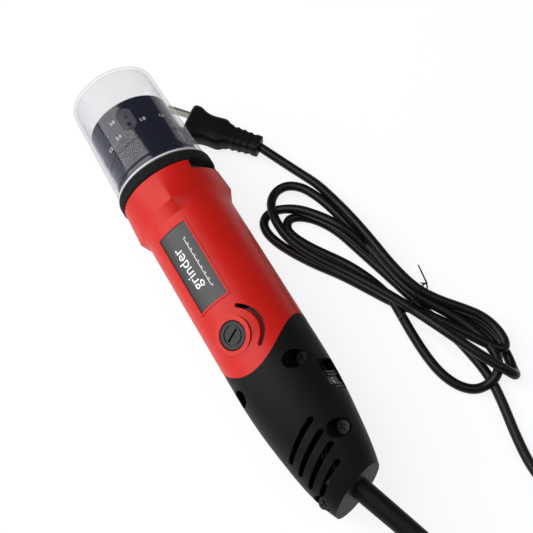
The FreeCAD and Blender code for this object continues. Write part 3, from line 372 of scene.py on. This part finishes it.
def makeTie():
    startFresh()
    bpy.ops.mesh.primitive_torus_add(major_radius=1, minor_radius=tie["tube"], major_segments=tie["around"],
                                     minor_segments=tie["sides"], rotation=(math.radians(90), 0, 0))
    item = finishPiece(bpy.context.object, "cordTie")
    power = tie["corner"]
    for vertex in item.data.vertices:     # the round ring becomes a flattened loop that hugs the turns
        angle = math.atan2(vertex.co.z, vertex.co.x)
        reach = (math.hypot(vertex.co.x, vertex.co.z) - 1) / tie["tube"] * tie["wire"]
        flat = (abs(math.cos(angle)) ** power + abs(math.sin(angle)) ** power) ** (1 / power)
        vertex.co.x = math.cos(angle) * (tie["wide"] / flat + reach)
        vertex.co.z = math.sin(angle) * (tie["high"] / flat + reach)
        vertex.co.y = vertex.co.y / tie["tube"] * tie["wire"] + tie["twist"] * math.sin(2 * angle)
    joined([item] + [tieEnd(*end) for end in tie["ends"]])
    turn = Matrix.Rotation(math.radians(tie["turn"]), 4, "Z")
    finishPiece(item, "cordTie", Matrix.Translation(Vector(tie["centre"])) @ turn)
    smooth(item, tie["shade"])
    return item


cordTie = makeTie()
print("tie made")

# figures beside the guide's holes

figures = {"size": 0.0031, "depth": 0.00012, "radius": 0.02515,
           # text, tool y, degrees from the brush cap towards the switch
           "guide": [("3.0", 0.0425, 6.5), ("1.0", 0.0345, 44.5), ("2.4", 0.0322, 4.0),
                     ("3.2", 0.0305, -16.5), ("1.6", 0.0345, 74.0)]}


def makeText(words, size, name):
    startFresh()
    bpy.ops.object.text_add()
    item = bpy.context.object
    item.data.body = words
    item.data.size = size
    item.data.align_x = "CENTER"
    item.data.align_y = "CENTER"
    item.data.extrude = figures["depth"] / 2
    return finishPiece(item, name)


def makeFigures():
    parts = []
    for words, y, degrees in figures["guide"]:
        item = makeText(words, figures["size"], "sizeFigure")
        wrapOnTool(item, figures["radius"], y, degrees, figures["depth"] / 2)
        parts.append(item)
    return finishPiece(joined(parts), "sizeFigures", toolPlace)


sizeFigures = makeFigures()
print("figures made")

# whitish bead along the clear cover's rim, a painted highlight line

bead = {"y": 0.0049, "radius": 0.0290, "round": 0.00075, "around": 160, "sides": 14, "shade": 60}


def makeRimHighlightBead():
    startFresh()
    bpy.ops.mesh.primitive_torus_add(major_radius=bead["radius"], minor_radius=bead["round"],
                                     major_segments=bead["around"], minor_segments=bead["sides"],
                                     location=(0, bead["y"], 0), rotation=(math.radians(90), 0, 0))
    item = finishPiece(bpy.context.object, "rimHighlightBead", toolPlace)
    smooth(item, bead["shade"])
    return item


rimHighlightBead = makeRimHighlightBead()
print("bead made")

# plain lettering and a small scale on the label

label = {"middle": -0.061, "radius": 0.0273, "lift": 0.00006, "step": 0.001,
         "letters": "grinder", "size": 0.0092, "wordsAt": -0.0022,
         # length and width of the scale's line and of a tick
         "line": (0.032, 0.00034), "lineAt": 0.0050,
         "ticks": 9, "tick": (0.0014, 0.00032), "tickAt": 0.0058}


def makeRule(length, width, x, y=0.0):
    startFresh()
    bpy.ops.mesh.primitive_grid_add(x_subdivisions=2, y_subdivisions=max(2, round(length / label["step"])),
                                    size=1)
    item = bpy.context.object
    item.scale = (width, length, 1)
    item.location = (x, y, 0)
    return finishPiece(item, "labelRule")


def makeLabelMarks():
    quarter = Matrix.Rotation(math.radians(90), 4, "Z")
    words = finishPiece(makeText(label["letters"], label["size"], "labelWords"), "labelWords",
                        Matrix.Translation((label["wordsAt"], 0, 0)) @ quarter)
    parts = [words, makeRule(*label["line"], label["lineAt"])]
    gap = label["line"][0] / (label["ticks"] - 1)
    for i in range(label["ticks"]):
        parts.append(makeRule(*label["tick"], label["tickAt"], (i - (label["ticks"] - 1) / 2) * gap))
    item = joined(parts)
    wrapOnTool(item, label["radius"] + label["lift"], label["middle"])
    return finishPiece(item, "labelMarks", toolPlace)


labelMarks = makeLabelMarks()
print("label marks made")

# marks on the switch

marks = {"size": 0.0030, "on": 0.0012, "off": -0.0013, "top": 0.02382}


def makeSwitchMarks():
    low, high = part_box("switch_slider")
    middle = toolPlace.inverted() @ ((low + high) / 2)
    # letters stand on the slider's top, which faces the tool's x
    turn = Matrix.Rotation(math.radians(90), 4, "Y") @ Matrix.Rotation(math.radians(90), 4, "Z")
    parts = []
    for words, side in (("I", marks["on"]), ("O", marks["off"])):
        item = makeText(words, marks["size"], "switchMark")
        place = Matrix.Translation((marks["top"], middle.y + side, 0)) @ turn
        parts.append(finishPiece(item, "switchMark", place))
    return finishPiece(joined(parts), "switchMarks", toolPlace)


switchMarks = makeSwitchMarks()
print("switch marks made")

# materials


def darker(tone, share):
    return tuple(value * share for value in tone)


def redShell():
    paint = Paint("redShell")
    cloud = paint.noise(0.03, 3)
    grain = paint.noise(0.00035, 2)
    colour = paint.mix(cloud, (0.50, 0.0085, 0.0050), (0.58, 0.0120, 0.0070))
    paint.set(Base_Color=colour, Roughness=paint.spread(paint.noise(0.004, 4), 0.34, 0.42),
              Normal=paint.bump(grain, 0.00003, 0.5), Specular_IOR_Level=0.22)
    return paint.material


def blackHandle():
    paint = Paint("blackHandle")
    grain = paint.noise(0.0005, 3, 0.6)
    colour = paint.mix(paint.noise(0.02, 3), (0.0035, 0.0035, 0.0038), (0.0058, 0.0056, 0.0053))
    paint.set(Base_Color=colour, Roughness=paint.spread(grain, 0.44, 0.56),
              Normal=paint.bump(grain, 0.00006, 0.7), Specular_IOR_Level=0.11)
    return paint.material


def speckledFoam():
    paint = Paint("speckledFoam")
    cells = paint.node("ShaderNodeTexVoronoi", None, {"Vector": paint.place(), "Scale": 1100.0})
    flecks = paint.noise(0.0006, 3, 0.7)
    colour = paint.mix(paint.between(flecks, 0.52, 0.72), (0.004, 0.004, 0.0045), (0.045, 0.048, 0.052))
    paint.set(Base_Color=colour, Roughness=0.85, Normal=paint.bump(cells * 0.6 + flecks, 0.0004, 0.9),
              Specular_IOR_Level=0.15)
    return paint.material


def glossBlack():
    paint = Paint("blackHead")
    swirl = paint.noise(0.01, 3)
    colour = paint.mix(swirl, (0.004, 0.004, 0.005), (0.007, 0.007, 0.008))
    paint.set(Base_Color=colour, Roughness=paint.spread(swirl, 0.09, 0.13), Specular_IOR_Level=0.5)
    return paint.material


def clearPlastic(name="clearPlastic", faceOn=0.055, edgeOn=0.60, tone=(0.05, 0.06, 0.16),
                 rim=(0.30, 0.31, 0.36)):
    paint = Paint(name)
    edge = paint.node("ShaderNodeLayerWeight", None, {"Blend": 0.5}, out="Facing")
    steep = paint.node("ShaderNodeMath", {"operation": "POWER"}, {0: edge, 1: 3.5})
    haze = paint.spread(paint.noise(0.012, 3), 0.0, 0.12)
    # towards grazing angles the colour moves from the dark tint to the lighter rim grey: a painted edge highlight
    # along the cover's outlines
    paint.set(Base_Color=paint.mix(steep + haze, tone, rim), Roughness=0.05, IOR=1.49,
              Alpha=paint.between(steep, 0.0, 1.0, faceOn, edgeOn), Specular_IOR_Level=0.8)
    return paint.material


def plainRubber(name, tone, rough, grainSize=0.0006, shine=0.25):
    paint = Paint(name)
    grain = paint.noise(grainSize, 3)
    colour = paint.mix(paint.noise(0.015, 2), darker(tone, 0.7), tone)
    paint.set(Base_Color=colour, Normal=paint.bump(grain, 0.00005, 0.5),
              Roughness=paint.spread(grain, rough, rough + 0.1), Specular_IOR_Level=shine)
    return paint.material


def metal(name, tone, rough):
    paint = Paint(name)
    streaks = paint.noise(0.0008, 3)
    paint.set(Base_Color=paint.mix(streaks, darker(tone, 0.82), tone), Metallic=1.0,
              Roughness=paint.spread(streaks, rough, rough + 0.12), Normal=paint.bump(streaks, 0.00002, 0.5))
    return paint.material


def diamondGrit():
    paint = Paint("diamondGrit")
    grain = paint.noise(0.00025, 4, 0.7)
    paint.set(Base_Color=paint.mix(grain, (0.20, 0.185, 0.16), (0.50, 0.47, 0.42)), Roughness=0.6,
              Metallic=0.35, Normal=paint.bump(grain, 0.00012, 0.8))
    return paint.material


def flatTone(name, grainSize, first, second, rough):
    paint = Paint(name)
    paint.set(Base_Color=paint.mix(paint.noise(grainSize, 2), first, second), Roughness=rough)
    return paint.material


finishes = {
    "red_shell": redShell(),
    "black_handle": blackHandle(),
    "bumper": speckledFoam(),
    "black_head": glossBlack(),
    "clear": clearPlastic(),
    "label": flatTone("labelFilm", 0.0004, (0.010, 0.010, 0.012), (0.016, 0.016, 0.018), 0.42),
    "black_plastic": plainRubber("blackPlastic", (0.007, 0.007, 0.0075), 0.26),
    "inner_plastic": plainRubber("innerPlastic", (0.04, 0.04, 0.042), 0.5),
    "steel": metal("groundSteel", (0.62, 0.62, 0.64), 0.22),
    "bare_aluminium": metal("bareAluminium", (0.80, 0.80, 0.82), 0.25),
    "brass": metal("platedBlade", (0.36, 0.34, 0.30), 0.28),
    "copper": metal("copperWire", (0.72, 0.34, 0.16), 0.35),
    "carbon": plainRubber("carbonBlock", (0.03, 0.03, 0.032), 0.6),
    "laminations": metal("steelLaminations", (0.34, 0.34, 0.36), 0.42),
    "diamond": diamondGrit(),
    "dark_seal": plainRubber("softRubber", (0.006, 0.006, 0.0065), 0.40, shine=0.13),
    "port_grey": plainRubber("portGrey", (0.050, 0.050, 0.053), 0.35),
    "cord_sheath": plainRubber("cordSheath", (0.005, 0.005, 0.0055), 0.30, grainSize=0.0012, shine=0.20),
    "screw_black": metal("blackScrew", (0.028, 0.028, 0.030), 0.40)}
ink = flatTone("whiteInk", 0.0004, (0.80, 0.81, 0.82), (0.90, 0.91, 0.92), 0.5)
plugRim = flatTone("plugRim", 0.001, (0.10, 0.10, 0.105), (0.14, 0.14, 0.145), 0.4)

for part in frame["record"]["subparts"]:
    paintWith(nodes[part["node"]], finishes[part["material_slot"]])

paintWith(mainsCord, finishes["cord_sheath"])
paintWith(plugBody, finishes["dark_seal"])
paintWith(cordTie, finishes["dark_seal"])
for marked in (sizeFigures, labelMarks, switchMarks):
    paintWith(marked, ink)
# the bead's nearly opaque whitish finish is a painted highlight along the cover's rim
paintWith(rimHighlightBead, clearPlastic("rimHighlightFinish", 0.75, 0.9, (0.80, 0.80, 0.84), (0.85, 0.85, 0.88)))


def paintRim():
    plugBody.data.materials.append(plugRim)
    heading = (Vector(plug["face"]) - Vector(plug["tail"])).normalized()
    for face in plugBody.data.polygons:     # a lighter rim round the plug's face
        if (Vector(plug["face"]) - face.center).dot(heading) < plug["rimStart"]:
            face.material_index = 1


paintRim()
print("finishes on")

# what moves with what

for piece in (mainsCord, plugBody, cordTie, labelMarks):
    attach(piece, "housing")
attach(sizeFigures, "guide")
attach(rimHighlightBead, "cover")
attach(switchMarks, "switch")
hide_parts("cord_tail_lead", "cord_hank", "cord_plug_lead")
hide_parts("plug_body")
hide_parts("cord_tie")
print("pieces joined to their bodies")

# floor, backdrop and light

studio = {"floor": 4.0, "floorTone": (0.18, 0.18, 0.18), "floorGlow": 0.84, "backdrop": 1.0, "fill": 0.10}


def addStudio():
    startFresh()
    bpy.ops.mesh.primitive_plane_add(size=studio["floor"])
    floor = finishPiece(bpy.context.object, "floor")
    paint = Paint("paleFloor")
    paint.set(Base_Color=studio["floorTone"], Roughness=0.9, Specular_IOR_Level=0.1,
              Emission_Color=(1.0, 1.0, 1.0), Emission_Strength=studio["floorGlow"])
    paintWith(floor, paint.material)
    world = bpy.data.worlds.new("studio")
    scene.world = world
    world.use_nodes = True
    tree = world.node_tree
    path = tree.nodes.new("ShaderNodeLightPath")
    background = tree.nodes["Background"]
    background.inputs["Color"].default_value = (1, 1, 1, 1)
    strength = tree.nodes.new("ShaderNodeMapRange")
    strength.inputs["To Min"].default_value = studio["fill"]
    strength.inputs["To Max"].default_value = studio["backdrop"]
    tree.links.new(path.outputs["Is Camera Ray"], strength.inputs["Value"])
    tree.links.new(strength.outputs["Result"], background.inputs["Strength"])


# name, place, aim, width, height, power
lamps = [("softLeft", (-0.84, 0.47, 0.87), (0.0, 0.02, 0.02), 1.3, 1.9, 28.0),
         ("softRight", (1.1, -0.5, 0.9), (0.05, -0.05, 0.02), 0.5, 0.9, 1.6),
         ("softTop", (0.35, -0.35, 1.5), (0.05, 0.0, 0.0), 0.35, 0.6, 3.0)]


def addLamp(name, place, aim, width, height, power):
    data = bpy.data.lights.new(name, "AREA")
    data.shape = "RECTANGLE"
    data.size, data.size_y = width, height
    data.energy = power
    item = bpy.data.objects.new(name, data)
    item.location = place
    item.rotation_euler = (Vector(place) - Vector(aim)).to_track_quat("Z", "Y").to_euler()
    scene.collection.objects.link(item)


addStudio()
for lamp in lamps:
    addLamp(*lamp)
scene.view_settings.view_transform = "Standard"
print("studio lit")
